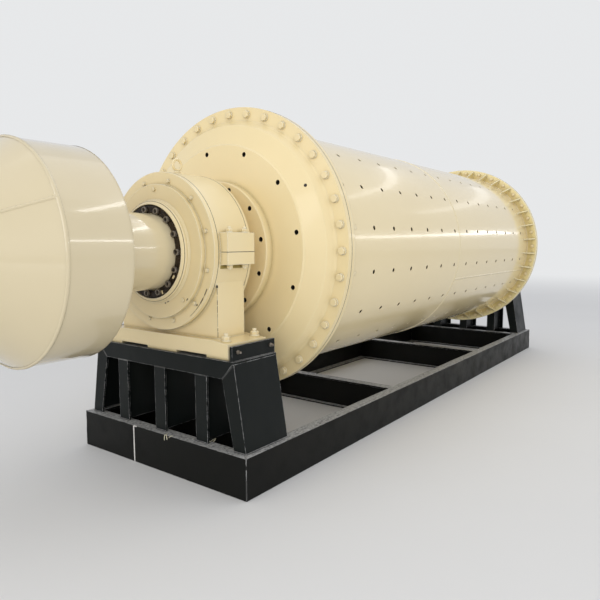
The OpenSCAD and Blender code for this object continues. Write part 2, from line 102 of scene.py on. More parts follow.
# %% Place the camera
def camera_turn(yaw, pitch, roll):
    """Camera axes from a heading off +X, a downward pitch and a roll, in degrees."""
    yaw, pitch, roll = (math.radians(a) for a in (yaw, pitch, roll))
    ahead = Vector((math.cos(yaw) * math.cos(pitch), math.sin(yaw) * math.cos(pitch), -math.sin(pitch)))
    side = Vector((math.sin(yaw), -math.cos(yaw), 0.0))
    up = side.cross(ahead)
    across = side * math.cos(roll) + up * math.sin(roll)
    upright_axis = up * math.cos(roll) - side * math.sin(roll)
    return Matrix((across, upright_axis, -ahead)).transposed().to_4x4()


camera_place = (-2.4014, -2.9838, 1.5265)
lens = bpy.data.cameras.new("photo_camera")
lens.lens = 33.684
lens.sensor_width = 36.0
lens.sensor_fit = "HORIZONTAL"
lens.clip_end = 200.0
camera = bpy.data.objects.new("photo_camera", lens)
bpy.context.scene.collection.objects.link(camera)
camera.matrix_world = Matrix.Translation(camera_place) @ camera_turn(36.836, 5.828, -0.208)
bpy.context.scene.camera = camera
print("camera at", tuple(round(v, 3) for v in camera.location))

# %% [markdown]
# ## The studio
# The mill stands on a plain pale floor under soft light. Wide lamps above and at the feed side light
# the forms, and one at the camera's side fills the shadows without showing in the gloss. Gloss paint
# is seen mostly by what it mirrors: three narrow lamps at the side draw the bright line along the
# drum, and three in the roof draw soft bows above it. All lamps are hidden from the camera.

# %% Light the studio
def soft_lamp(name, place, aim, size, power, colour=(1.0, 1.0, 1.0), roll=0.0):
    """A rectangle of light. size is in metres, power in watts, roll in degrees around its aim."""
    lamp = bpy.data.lights.new(name, "AREA")
    lamp.shape = "RECTANGLE"
    lamp.size, lamp.size_y = size
    lamp.energy = power
    lamp.color = colour
    piece = bpy.data.objects.new(name, lamp)
    bpy.context.scene.collection.objects.link(piece)
    away = Vector(place) - Vector(aim)
    turn = away.to_track_quat("Z", "Y").to_matrix().to_4x4()
    piece.matrix_world = Matrix.Translation(place) @ turn @ Matrix.Rotation(math.radians(roll), 4, "Z")
    piece.visible_camera = False
    return piece


warm_white = (1.0, 0.99, 0.97)
soft_lamp("lamp_above", (2.5, -1.0, 8.0), (2.5, -0.2, 1.0), (12.0, 7.0), 92.0, warm_white)
fill = soft_lamp("lamp_camera_side", (-8.0, -8.5, 3.6), (1.8, 0.0, 1.2), (9.0, 5.0), 470.0)
fill.visible_glossy = False
soft_lamp("lamp_feed_side", (-14.0, 3.0, 4.6), (0.5, -0.2, 1.5), (9.0, 6.0), 390.0)
soft_lamp("lamp_side_strip_near", (7.8, -8.0, 3.3), (7.8, 0.0, 2.9), (8.4, 0.22), 45.0)
soft_lamp("lamp_side_strip_far", (21.3, -8.0, 3.8), (21.3, 0.0, 3.4), (18.3, 0.38), 78.0, roll=5.0)
soft_lamp("lamp_side_strip_end", (27.6, -8.1, 4.72), (27.6, 0.0, 4.32), (6.0, 0.95), 64.0, roll=5.0)
roof_strips = (("first", 5.3, 0.30, 52.0), ("second", 13.9, 0.35, 14.0), ("third", 22.4, 0.6, 13.0))
for order, x, width, power in roof_strips:
    soft_lamp("lamp_roof_strip_" + order, (x, -3.0, 8.5), (x - 8.0, -3.0, 2.0), (9.5, width), power)

# %% [markdown]
# ## Finishes
# Every finish is made of nodes, and a few helpers keep that short. A texture reads object
# coordinates, which are metres here, so a scale of 100 means features of about a centimetre.

# %% Helpers for finishes
def set_inputs(tree, node, inputs):
    """Sets each input of a node to a constant, or joins it to the socket that is given."""
    for key, value in inputs.items():
        if isinstance(value, bpy.types.NodeSocket):
            tree.links.new(value, node.inputs[key])
        else:
            node.inputs[key].default_value = value


def add_node(tree, kind, inputs=None, **settings):
    made = tree.nodes.new("ShaderNode" + kind)
    for key, value in settings.items():
        setattr(made, key, value)
    set_inputs(tree, made, inputs or {})
    return made


def new_finish(name):
    """Starts a material. Returns it with its tree, its shader and the object coordinates."""
    mat = bpy.data.materials.new(name)
    mat.use_nodes = True
    tree = mat.node_tree
    where = add_node(tree, "TexCoord").outputs["Object"]
    return mat, tree, tree.nodes["Principled BSDF"], where


def noise(tree, where, scale, detail=4.0, rough=0.55, stretch=(1.0, 1.0, 1.0)):
    """A noise value from 0 to 1 in object space, stretched along the three axes."""
    place = add_node(tree, "Mapping", {"Vector": where, "Scale": stretch}).outputs["Vector"]
    grain = {"Vector": place, "Scale": scale, "Detail": detail, "Roughness": rough}
    return add_node(tree, "TexNoise", grain).outputs["Fac"]


def spread(tree, value, start, end, to_low=0.0, to_high=1.0):
    """Maps a value between start and end smoothly to a new span."""
    limits = {"Value": value, "From Min": start, "From Max": end, "To Min": to_low, "To Max": to_high}
    return add_node(tree, "MapRange", limits, interpolation_type="SMOOTHSTEP").outputs["Result"]


def mottle(tree, where, scale, start, end, detail=4.0, rough=0.55, span=(0.0, 1.0),
           stretch=(1.0, 1.0, 1.0)):
    """Patches with soft borders: noise below start is the low end of the span, above end the high one."""
    return spread(tree, noise(tree, where, scale, detail, rough, stretch), start, end, *span)


def times(tree, first, second):
    """Multiplies a socket by a number or by another socket."""
    return add_node(tree, "Math", {0: first, 1: second}, operation="MULTIPLY").outputs["Value"]


def tint(tree, amount, base, over):
    """Mixes colour over into base by an amount. base may be a colour or a socket."""
    under = (*base, 1.0) if isinstance(base, tuple) else base
    colours = {"Factor": amount, 6: under, 7: (*over, 1.0)}
    return add_node(tree, "Mix", colours, data_type="RGBA").outputs[2]


print("finish helpers ready")

# %% [markdown]
# The room is an even pale colour. Light Path tells rays of the camera from all others, so the wall
# can have its own grey while a slightly blue sky lights the paint.

# %% Give the world a pale, even colour
wall_colour = (0.80, 0.81, 0.82, 1.0)
world = bpy.data.worlds.new("pale_room")
bpy.context.scene.world = world
world.use_nodes = True
room = world.node_tree
room.nodes.clear()
sky = add_node(room, "Background", {"Color": (0.93, 0.95, 1.0, 1.0), "Strength": 0.76})
wall = add_node(room, "Background", {"Color": wall_colour, "Strength": 1.0})
rays = add_node(room, "LightPath")
choice = add_node(room, "MixShader", {
    "Fac": rays.outputs["Is Camera Ray"], 1: sky.outputs["Background"], 2: wall.outputs["Background"]})
add_node(room, "OutputWorld", {"Surface": choice.outputs["Shader"]})
bpy.context.scene.view_settings.view_transform = "Standard"
print("world:", world.name)

# %% [markdown]
# Edges catch wear and light before faces do, and shade falls in corners: the paints below paint dust,
# wear and highlights on edges, and shade in corners. The Bevel node rounds the normal near an edge, so
# its angle to the true one is a mask of the edges, and the rounded normal gives each plate the small
# bright radius of a real edge. Ambient Occlusion measures how closed the space is, so its dark values
# are a mask of the corners.

# %% Masks and bumps
def rounded_normal(tree, radius):
    return add_node(tree, "Bevel", {"Radius": radius}, samples=4).outputs["Normal"]


def edge_mask(tree, rounded):
    """1 where the rounded normal leaves the true one, which is along the edges."""
    true_normal = add_node(tree, "NewGeometry").outputs["Normal"]
    angle = add_node(tree, "VectorMath", {0: rounded, 1: true_normal}, operation="DOT_PRODUCT")
    return spread(tree, angle.outputs["Value"], 0.995, 0.90)


def corner_mask(tree, reach):
    """1 deep in a corner, 0 on open faces, from how much of the space within reach is closed."""
    distance = {"Distance": reach}
    open_space = add_node(tree, "AmbientOcclusion", distance, samples=6, only_local=False)
    return spread(tree, open_space.outputs["AO"], 0.92, 0.35)


def bump(tree, height, distance, normal):
    relief = {"Strength": 1.0, "Distance": distance, "Height": height, "Normal": normal}
    return add_node(tree, "Bump", relief).outputs["Normal"]


def facing_up(tree):
    """How far a surface faces up, in the piece's own space, so that it stays on a turned drum."""
    normal = add_node(tree, "TexCoord").outputs["Normal"]
    return add_node(tree, "SeparateXYZ", {"Vector": normal}).outputs["Z"]


def in_hollow(tree, where, radius, reach):
    """1 nearer the axis than radius and nearer the drum's middle than reach, as inside the drum."""
    centre = (drum_middle_x, 0.0, axis_z)
    moved = add_node(tree, "VectorMath", {0: where, 1: centre}, operation="SUBTRACT").outputs["Vector"]
    masks = []
    for directions, limit in (((0.0, 1.0, 1.0), radius), ((1.0, 0.0, 0.0), reach)):
        part = add_node(tree, "VectorMath", {0: moved, 1: directions}, operation="MULTIPLY")
        far = add_node(tree, "VectorMath", {0: part.outputs["Vector"]}, operation="LENGTH")
        near = add_node(tree, "Math", {0: far.outputs["Value"], 1: limit}, operation="LESS_THAN")
        masks.append(near.outputs["Value"])
    return times(tree, *masks)


print("mask helpers ready")

# %% [markdown]
# The drum and the castings carry glossy cream paint. Sprayed paint isn't one colour: it has soft
# clouds, a fine orange peel, a film of dust where it faces up, and thin light lines of dust and
# painted highlight on its edges. Plate also bends a little as it is rolled, so a slow wave in the
# normal breaks up reflections. Some paints also get painted shade in their corners and at the roots
# of the gussets. The walls of the liner bolt holes and the drum's inner faces stay bare steel, painted
# near black as the shade inside the drum.

# %% Glossy paint
grime = (0.30, 0.24, 0.14)
# Olive brown of the painted shade in corners.
corner_shade = (0.36, 0.27, 0.09)
# Bare steel inside the drum, darkened near black as painted shade.
bare_steel_and_shade = (0.022, 0.018, 0.014)
# Reach from the shell of the painted shade at the gussets' roots.
gusset_root = 0.050
whole_length = 10.0


def gloss_paint(name, colours, rough=0.26, wave=0.0015, peel=0.00010, dust_amount=0.15, edge=0.004,
                edge_amount=0.5, speck=0.10, gloss=0.4, corner=None, hollow=None, root_shade=None):
    """colours are the paint, its clouds and its dust, whose colour also paints the highlight on edges,
    and wave and peel are bump heights. corner is the (reach, amount) of painted shade in corners,
    hollow the (radius, reach) of bare insides painted near black as shade, and the last argument a
    colour of painted shade for the roots of the gussets."""
    mat, tree, shader, where = new_finish(name)
    paint, cloud, dust = colours
    coat = tint(tree, mottle(tree, where, 0.9, 0.32, 0.70), paint, cloud)
    dirt = mottle(tree, where, 7.0, 0.62, 0.84, 9.0, 0.68)
    coat = tint(tree, times(tree, dirt, speck * 0.6), coat, grime)
    specks = mottle(tree, where, 70.0, 0.73, 0.79, 3.0, 0.6)
    coat = tint(tree, times(tree, specks, speck), coat, grime)
    up = spread(tree, facing_up(tree), 0.35, 0.98)
    film = times(tree, up, mottle(tree, where, 2.6, 0.34, 0.70, 8.0, 0.7))
    coat = tint(tree, times(tree, film, dust_amount), coat, dust)
    rounded = rounded_normal(tree, edge)
    # Painted shade in corners, where Ambient Occlusion finds the space closed.
    if corner:
        reach, amount = corner
        coat = tint(tree, times(tree, corner_mask(tree, reach), amount), coat, corner_shade)
    # Painted shade at the roots of the gussets, near the shell.
    if root_shade:
        coat = tint(tree, in_hollow(tree, where, shell_radius + gusset_root, whole_length), coat, root_shade)
    # Dust and a painted highlight along the edges, in the dust colour.
    coat = tint(tree, times(tree, edge_mask(tree, rounded), edge_amount), coat, dust)
    # The bare insides, painted near black as the shade inside the drum.
    if hollow:
        coat = tint(tree, in_hollow(tree, where, *hollow), coat, bare_steel_and_shade)
    haze = mottle(tree, where, 4.0, 0.3, 0.75, 5.0, 0.6, (rough * 0.92, rough * 1.15))
    normal = bump(tree, noise(tree, where, 2.3, 1.0), wave, rounded)
    normal = bump(tree, noise(tree, where, 160.0, 2.0), peel, normal)
    set_inputs(tree, shader, {
        "Base Color": coat, "Roughness": haze, "Normal": normal, "Coat Weight": gloss,
        "Coat Roughness": 0.06, "Specular IOR Level": 0.5})
    return mat


print("gloss paint ready")

# %% [markdown]
# One recipe gives all the cream paints. The rolled shell is the smoothest, the castings are duller
# and get painted shade in their corners, and the gussets are the yellowest, with dust and painted
# highlights on their edges. The feeder's cream is the shell's made darker as painted shade, the pipe's
# is a little lighter than the feeder's as painted light, and the caps' gold is the castings' made
# lighter as painted light.

# %% Mix the cream paints
# The dust colours also paint the highlight on edges.
cream_dust_and_edge_light = (0.87, 0.79, 0.59)
feeder_dust_and_edge_light = (0.80, 0.73, 0.55)
cream = ((0.785, 0.672, 0.425), (0.765, 0.650, 0.402), cream_dust_and_edge_light)
shell_cream = ((0.800, 0.668, 0.398), (0.790, 0.655, 0.385), cream_dust_and_edge_light)
# The feeder's cream is the shell's made darker as painted shade; the pipe's is lighter than the feeder's as
# painted light.
shaded_feeder_cream = ((0.655, 0.560, 0.365), (0.630, 0.536, 0.346), feeder_dust_and_edge_light)
lit_pipe_cream = ((0.735, 0.630, 0.405), (0.715, 0.608, 0.388), feeder_dust_and_edge_light)
casting_gold = ((0.815, 0.675, 0.390), (0.785, 0.640, 0.350), (0.95, 0.90, 0.72))
# The caps' gold is the castings' made lighter as painted light.
lit_cap_gold = ((0.845, 0.700, 0.402), (0.815, 0.665, 0.365), (0.88, 0.80, 0.58))
gusset_gold = ((0.900, 0.780, 0.430), (0.860, 0.720, 0.340), (0.97, 0.92, 0.74))

plate_paint = gloss_paint("plate_paint", cream)
shell_paint = gloss_paint(
    "shell_paint", shell_cream, 0.19, 0.0008, 0.00002, speck=0.02, gloss=0.5,
    hollow=(shell_radius - 0.004, whole_length))
shaded_feeder_paint, lit_pipe_paint = (
    gloss_paint(name, colours, 0.20, 0.0010, 0.00004, edge_amount=0.35, speck=0.04, gloss=0.9)
    for name, colours in (("shaded_feeder_paint", shaded_feeder_cream), ("lit_pipe_paint", lit_pipe_cream)))
casting_paint = gloss_paint(
    "casting_paint", casting_gold, 0.34, 0.003, 0.0003, 0.12, edge=0.007, edge_amount=0.85,
    corner=(0.030, 0.80))
lit_cap_paint = gloss_paint(
    "lit_cap_paint", lit_cap_gold, 0.34, 0.003, 0.0003, corner=(0.05, 0.55),
    hollow=(0.760, cap_face_reach - 0.003))
lit_hub_paint = gloss_paint(
    "lit_hub_paint", lit_cap_gold, 0.34, 0.003, 0.0003, corner=(0.05, 0.55),
    hollow=(0.492, cap_face_reach + hub_thick - 0.003))
gusset_paint = gloss_paint(
    "gusset_paint", gusset_gold, 0.36, 0.002, 0.0003, edge=0.009, edge_amount=1.0,
    corner=(0.08, 0.90), root_shade=(0.700, 0.570, 0.260))
print("paints:", [m.name for m in bpy.data.materials if "paint" in m.name])

# %% [markdown]
# The skid and the pedestals are black. Feet, hoists and dust have worked on them: the tops of the
# flanges are grey with dust, the edges are rubbed to broken light lines, and long vertical smears
# run down the webs.

# %% Worn black paint
scuff_grey = (0.20, 0.19, 0.17)
rubbed_grey = (0.56, 0.56, 0.55)


def worn_black(name, colour, dust, top_dust, smear_colour, smear_amount):
    mat, tree, shader, where = new_finish(name)
    smear = mottle(tree, where, 3.0, 0.50, 0.85, 7.0, 0.6, stretch=(1.0, 1.0, 0.25))
    base = tint(tree, times(tree, smear, smear_amount), colour, smear_colour)
    scuff = mottle(tree, where, 24.0, 0.70, 0.80, 10.0, 0.75)
    base = tint(tree, times(tree, scuff, 0.25), base, scuff_grey)
    up = spread(tree, facing_up(tree), 0.75, 0.99)
    film = times(tree, up, mottle(tree, where, 46.0, 0.34, 0.60, 9.0, 0.85))
    base = tint(tree, times(tree, film, top_dust), base, dust)
    rounded = rounded_normal(tree, 0.005)
    rub = times(tree, edge_mask(tree, rounded), mottle(tree, where, 24.0, 0.40, 0.56, 7.0, 0.75))
    base = tint(tree, times(tree, rub, 0.85), base, rubbed_grey)
    haze = mottle(tree, where, 6.0, 0.3, 0.75, 7.0, 0.6, (0.28, 0.50))
    normal = bump(tree, noise(tree, where, 3.0, 2.0), 0.003, rounded)
    normal = bump(tree, noise(tree, where, 120.0, 4.0), 0.00025, normal)
    set_inputs(tree, shader, {
        "Base Color": base, "Roughness": haze, "Normal": normal, "Specular IOR Level": 0.13})
    return mat


skid_paint = worn_black(
    "skid_paint", (0.0045, 0.0047, 0.0037), (0.50, 0.50, 0.485), 0.95, (0.050, 0.046, 0.036), 0.10)
pedestal_paint = worn_black(
    "pedestal_paint", (0.0074, 0.0094, 0.0086), (0.28, 0.28, 0.28), 0.6, (0.030, 0.032, 0.030), 0.35)
rubbed_seam = worn_black(
    "rubbed_seam", (0.050, 0.050, 0.048), (0.45, 0.45, 0.44), 0.9, (0.42, 0.42, 0.40), 0.9)
print("paints:", skid_paint.name, pedestal_paint.name, rubbed_seam.name)

# %% [markdown]
# Inside the covers there is bare steel under grease. It is dark brown and shines in wet patches, so
# its roughness goes from nearly wet to dull. The bearing rings are ground bright, and the rims of
# bolt heads lie between the two.

# %% Greasy and ground steel
def greasy_steel(name, colour, wet, metal):
    mat, tree, shader, where = new_finish(name)
    patches = mottle(tree, where, 30.0, 0.35, 0.70, 6.0, 0.65)
    sheen = mottle(tree, where, 22.0, 0.35, 0.7, 5.0, span=(0.18, 0.6))
    normal = bump(tree, noise(tree, where, 140.0, 5.0), 0.0008, rounded_normal(tree, 0.002))
    set_inputs(tree, shader, {
        "Base Color": tint(tree, patches, colour, wet), "Roughness": sheen, "Normal": normal,
        "Metallic": metal})
    return mat


oily_steel = greasy_steel("oily_steel", (0.045, 0.032, 0.022), (0.015, 0.011, 0.008), 0.7)
bearing_steel = greasy_steel("bearing_steel", (0.42, 0.42, 0.43), (0.30, 0.29, 0.27), 1.0)
rim_steel = greasy_steel("rim_steel", (0.32, 0.28, 0.23), (0.11, 0.09, 0.065), 0.6)
print("steels:", oily_steel.name, bearing_steel.name, rim_steel.name)

# %% [markdown]
# Filler, oil, wire and the painted shadow under the ear keep one colour with a fine mottle and grain,
# because nothing larger shows on a piece of a few millimetres.

# %% Filler, oil, wire and a painted shadow
def flat_finish(name, colour, rough):
    mat, tree, shader, where = new_finish(name)
    darker = tuple(0.72 * c for c in colour)
    shades = tint(tree, mottle(tree, where, 60.0, 0.35, 0.75, 6.0, 0.7), colour, darker)
    normal = bump(tree, noise(tree, where, 250.0, 4.0), 0.0004, rounded_normal(tree, 0.001))
    set_inputs(tree, shader, {"Base Color": shades, "Roughness": rough, "Normal": normal})
    return mat


joint_filler = flat_finish("joint_filler", (0.66, 0.64, 0.60), 0.8)
dark_oil_and_shade = flat_finish("dark_oil_and_shade", (0.020, 0.014, 0.009), 0.35)
clip_wire = flat_finish("clip_wire", (0.70, 0.66, 0.48), 0.5)
# Olive colour of the painted shadow under the near ear.
old_grease = flat_finish("old_grease", (0.34, 0.26, 0.07), 0.5)
print("small finishes:", joint_filler.name, dark_oil_and_shade.name, clip_wire.name, old_grease.name)

# %% [markdown]
# Each node of the model gets one of these finishes in its material slot, chosen by how its name
# starts. The mesh stays as packed.

# %% Dress the model's nodes
finishes = {
    "skid": skid_paint,
    "pedestal": pedestal_paint,
    "roller": bearing_steel,
    "retaining": oily_steel,
    "shell_flange_discharge": gusset_paint,
    "shell_flange_feed": casting_paint,
    "shell_course": shell_paint,
    "end_cap": lit_cap_paint,
    "trunnion": lit_hub_paint,
    "bearing": casting_paint,
    "lifting": casting_paint,
    "feeder": shaded_feeder_paint,
    "feed_pipe": lit_pipe_paint,
    "discharge_pipe": plate_paint,
}
for name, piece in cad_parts.items():
    finish = next(paint for start, paint in finishes.items() if name.startswith(start))
    piece.data.materials.clear()
    piece.data.materials.append(finish)
print("dressed", len(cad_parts), "nodes")

# %% [markdown]
# ## The floor
# A plain pale floor takes the soft shadow. Far away it fades into the colour of the room for the
# camera alone, so no horizon line shows.

# %% Lay the floor
floor_pale, floor_shade = (0.73, 0.725, 0.71), (0.70, 0.695, 0.68)


def pale_floor():
    mat, tree, shader, where = new_finish("pale_floor")
    shades = tint(tree, noise(tree, where, 0.6, 3.0), floor_pale, floor_shade)
    set_inputs(tree, shader, {"Base Color": shades, "Roughness": 0.8})
    reach = add_node(tree, "VectorMath", {0: where}, operation="LENGTH")
    far = spread(tree, reach.outputs["Value"], 8.0, 24.0)
    seen = times(tree, far, add_node(tree, "LightPath").outputs["Is Camera Ray"])
    backdrop = add_node(tree, "Emission", {"Color": wall_colour, "Strength": 1.0}).outputs["Emission"]
    blend = add_node(tree, "MixShader", {"Fac": seen, 1: shader.outputs["BSDF"], 2: backdrop})
    set_inputs(tree, tree.nodes["Material Output"], {"Surface": blend.outputs["Shader"]})
    return mat


floor_mesh = bmesh.new()
bmesh.ops.create_grid(floor_mesh, x_segments=4, y_segments=4, size=60.0)
floor_data = bpy.data.meshes.new("floor")
floor_mesh.to_mesh(floor_data)
floor_mesh.free()
floor_data.materials.append(pale_floor())
floor = bpy.data.objects.new("floor", floor_data)
floor.location = (3.0, 0.0, -0.001)
bpy.context.scene.collection.objects.link(floor)
print("floor laid")

# %% [markdown]
# ## Bolts
# A hexagon head isn't a plain prism: its corners are turned off by a shallow cone, which leaves a
# round top. Twelve points a loop are enough, one at each corner and one at each middle of a flat.
# A place matrix carries each bolt to its seat, with its own Z pointing out of the surface.

# %% Hexagon heads, washers and studs
washer_thick = 0.004
stud_radius = 0.012


def add_loop(bm, place, radii, heights):
    """A closed loop of points, each with its own radius and height."""
    step = 2 * math.pi / len(radii)
    return [bm.verts.new(place @ Vector((r * math.cos(step * k), r * math.sin(step * k), h)))
            for k, (r, h) in enumerate(zip(radii, heights))]


def skin(bm, lower, upper):
    count = len(lower)
    for k in range(count):
        bm.faces.new((lower[k], lower[(k + 1) % count], upper[(k + 1) % count], upper[k]))


def cap_ends(bm, first, last):
    bm.faces.new(last)
    bm.faces.new(list(reversed(first)))


def add_turned(bm, place, profile, count=20):
    """A turned solid from (radius, height) pairs, closed at both ends."""
    loops = [add_loop(bm, place, [r] * count, [h] * count) for r, h in profile]
    for lower, upper in zip(loops, loops[1:]):
        skin(bm, lower, upper)
    cap_ends(bm, loops[0], loops[-1])


def add_hexagon(bm, place, flats, height, seat=0.0):
    """A hexagon head or nut on a seat height, with its corners turned off."""
    round_r = flats / 2 * 0.96
    radii = [flats / 2 / math.cos(math.radians(30)) if k % 2 else flats / 2 for k in range(12)]
    lower = add_loop(bm, place, radii, [seat] * 12)
    middle = add_loop(bm, place, radii, [seat + height - (r - round_r) * 0.6 for r in radii])
    top = add_loop(bm, place, [round_r * 0.97] * 12, [seat + height] * 12)
    skin(bm, lower, middle)
    skin(bm, middle, top)
    cap_ends(bm, lower, top)


def add_washer(bm, place, radius, thick=washer_thick):
    add_turned(bm, place, [(radius, 0.0), (radius, thick * 0.7), (radius - thick * 0.3, thick)], 24)


def add_stud(bm, place, start, end, radius=stud_radius, pitch=0.003):
    """A threaded stud end: the thread is a row of fine rings, the tip is turned to a cone."""
    steps = max(1, int((end - start) / pitch))
    profile = [(radius * (0.92 if k % 2 else 1.0), start + (end - start) * k / steps) for k in range(steps)]
    add_turned(bm, place, profile + [(radius * 0.78, end)], 14)


def add_nut(bm, place, washer, flats, height, stud=None):
    """A washer with a hexagon on it. stud is the (start, end) of a thread that stands out of it."""
    add_washer(bm, place, washer)
    add_hexagon(bm, place, flats, height, washer_thick)
    if stud:
        add_stud(bm, place, *stud)


print("bolt helpers ready")

# %% [markdown]
# Small things of one kind are joined into one mesh, because a hundred loose bolts would make the
# file slow and hard to use. Most seats lie on circles around the drum's axis, so places around it
# have helpers too. They count degrees from the top towards the near side.

# %% Turn a bmesh into a piece
made_pieces = []
gold, pale = "warm_cream_paint", "pale_cream_paint"
along_x = Vector((1.0, 0.0, 0.0))


def piece_from(bm, name, finish, body, smooth=False):
    bmesh.ops.recalc_face_normals(bm, faces=bm.faces)
    data = bpy.data.meshes.new(name)
    bm.to_mesh(data)
    bm.free()
    data.materials.append(finish)
    for face in data.polygons:
        face.use_smooth = smooth
    made = bpy.data.objects.new(name, data)
    bpy.context.scene.collection.objects.link(made)
    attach(made, body)
    made_pieces.append(made)
    print(name, "faces", len(data.polygons))


def around(degrees):
    """The direction from the drum's axis, in degrees from the top towards the near side."""
    angle = math.radians(degrees)
    return Vector((0.0, -math.sin(angle), math.cos(angle)))


def on_drum(x, degrees, radius):
    return Vector((x, 0.0, axis_z)) + around(degrees) * radius


def seat_at(spot, outward):
    return Matrix.Translation(spot) @ outward.to_track_quat("Z", "Y").to_matrix().to_4x4()


def ring_places(x, radius, count, turn, outward):
    """Bolt places around the drum's axis. outward is +1 or -1 along X, and each bolt has its own turn."""
    places = []
    facing = Matrix.Rotation(math.radians(90 * outward), 4, "Y")
    for k in range(count):
        degrees = turn + 360.0 * k / count
        twist = Matrix.Rotation(math.radians(degrees) + 0.37 * k, 4, "X")
        places.append(Matrix.Translation(on_drum(x, degrees, radius)) @ twist @ facing)
    return places


print("piece helpers ready")

# %% [markdown]
# ## The flange bolts
# Thirty-six bolts clamp the feed end cap to the shell's flange, and at the discharge end one bolt
# stands in each pocket between two gussets. The nuts are on the shell's side, as in the photograph.
# The bolts were painted with the drum, so they take its paints.

# %% Flange bolts
flange_bolt_r = flange_radius - 0.050
pockets = 34
pocket_turn = 180.0 / pockets
nut_flats = 0.036
nut = (0.022, nut_flats, 0.019, (0.020, 0.031))


def flange_row(name, finish, slot, x, outward, count, turn, sizes):
    """sizes are those of add_nut: the washer, the flats, the height and the thread."""
    row = bmesh.new()
    for place in ring_places(x, flange_bolt_r, count, turn, outward):
        add_nut(row, place, *sizes)
    piece_from(row, name, finish, "drum")


cap_side_x, far_cap_side_x = feed_joint_x - flange_thick, discharge_joint_x + flange_thick
far_nut_x = discharge_joint_x - flange_thick
head, far_head = (0.0285, 0.046, 0.019), (0.022, nut_flats, 0.015)
flange_row("feed_flange_bolt_heads", casting_paint, gold, cap_side_x, -1, 36, 0.0, head)
flange_row("feed_flange_nuts", plate_paint, pale, feed_flange_x, 1, 36, 0.0, nut)
far_row = (pockets, pocket_turn)
flange_row("discharge_flange_bolt_heads", casting_paint, gold, far_cap_side_x, 1, *far_row, far_head)
flange_row("discharge_flange_nuts", lit_cap_paint, gold, far_nut_x, -1, *far_row, nut)

# %% [markdown]
# ## The covers' screws
# Each bearing housing is closed by bolted covers. Twelve screws stand near the rim of each cover, and
# two more on the outer cover's raised ring. Both ends of the mill are alike, so one function dresses
# an end, mirrored by its sign.

# %% Cover screws at both ends
screw_circle, ring_screw_circle = 0.466, 0.403
screw_flats, screw_height = 0.022, 0.010
thin_washer = 0.0025


def cover_screws(end, sign):
    """sign is -1 where the housing's outer side faces -X."""
    drum_side = 1 if sign < 0 else 0
    plate_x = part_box("bearing_outer_cover_" + end)[drum_side].x + sign * cover_plate
    inner_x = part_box("bearing_inner_cover_" + end)[drum_side].x
    for side, x, outward in (("outer", plate_x, sign), ("inner", inner_x, -sign)):
        screws = bmesh.new()
        for place in ring_places(x, screw_circle, 12, 14.0, outward):
            add_washer(screws, place, 0.014, thin_washer)
            add_hexagon(screws, place, screw_flats, screw_height, thin_washer)
        if side == "outer":
            for turn in (1.2, 139.0):
                place = ring_places(plate_x + sign * cover_ring, ring_screw_circle, 1, turn, sign)[0]
                add_hexagon(screws, place, screw_flats, screw_height)
        piece_from(screws, side + "_cover_screws_" + end, casting_paint, "stand")


cover_screws("feed", -1)
cover_screws("discharge", 1)

# %% [markdown]
# A crown of bolts holds the dark retaining ring on each trunnion's end. Their heads are round with a
# socket: a rim that catches the light, around a hollow with a dark bottom.

# %% Bolts of the retaining rings
def ring_bolts(end, sign):
    ring_low, ring_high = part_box("retaining_ring_" + end)
    face_x = ring_low.x if sign < 0 else ring_high.x
    rim = [(0.0208, -0.001), (0.0208, 0.014), (0.0190, 0.0170), (0.0140, 0.0170), (0.0130, 0.014),
           (0.0123, 0.004)]
    socket = [(0.0124, 0.003), (0.0120, 0.0065), (0.0045, 0.0070)]
    heads, sockets = bmesh.new(), bmesh.new()
    for place in ring_places(face_x, 0.272, 15, 18.0, sign):
        add_turned(heads, place, rim, 28)
        add_turned(sockets, place, socket, 12)
    piece_from(heads, "retaining_ring_bolts_" + end, rim_steel, "drum")
    piece_from(sockets, "retaining_ring_sockets_" + end, dark_oil_and_shade, "drum")


ring_bolts("feed", -1)
ring_bolts("discharge", 1)

# %% [markdown]
# ## Studs of the housings
# Two studs on each side clamp the cap to the base through the ears, with a nut above and below, and
# bolts hold the housing's foot to the pedestal. A fitter never leaves two nuts at the same turn, so
# a spin value grows from one to the next.

# %% Ear studs and foot bolts
def upright(x, y, z, spin, up=1):
    facing = Matrix.Identity(4) if up > 0 else Matrix.Rotation(math.pi, 4, "X")
    return Matrix.Translation((x, y, z)) @ Matrix.Rotation(spin, 4, "Z") @ facing


def fasten_housing(end):
    middle = housing_middle(end)
    spin = 0.2
    studs = bmesh.new()
    for x in (-0.068, 0.068):
        for y in (-0.543, 0.543):
            top = upright(middle + x, y, axis_z + ear_top, spin)
            add_nut(studs, top, 0.023, nut_flats, 0.020, (0.024, 0.036))
            under = upright(middle + x, y, axis_z - ear_bottom, spin, -1)
            add_nut(studs, under, 0.023, nut_flats, 0.018, (0.022, 0.030))
            spin += 0.7
    piece_from(studs, "ear_studs_" + end, casting_paint, "stand")
    foot = bmesh.new()
    seat = low("bearing_base_" + end).z + 0.104
    boss = [(0.033, -0.006), (0.033, 0.006), (0.031, 0.008)]
    for x in (-0.125, 0.140):
        for y in (-0.555, 0.555):
            place = upright(middle + x, y, seat, spin)
            add_turned(foot, place, boss, 24)
            add_hexagon(foot, place, 0.048, 0.026, 0.008)
            add_stud(foot, place, 0.034, 0.052, 0.0150)
            spin += 0.9
    piece_from(foot, "foot_bolts_" + end, casting_paint, "stand")


fasten_housing("feed")
fasten_housing("discharge")

# %% [markdown]
# Screws in the pedestal's stop plates push the housing's foot square. A lock nut and the thread's end
# show outside, and the plain point shows between the plate and the foot.

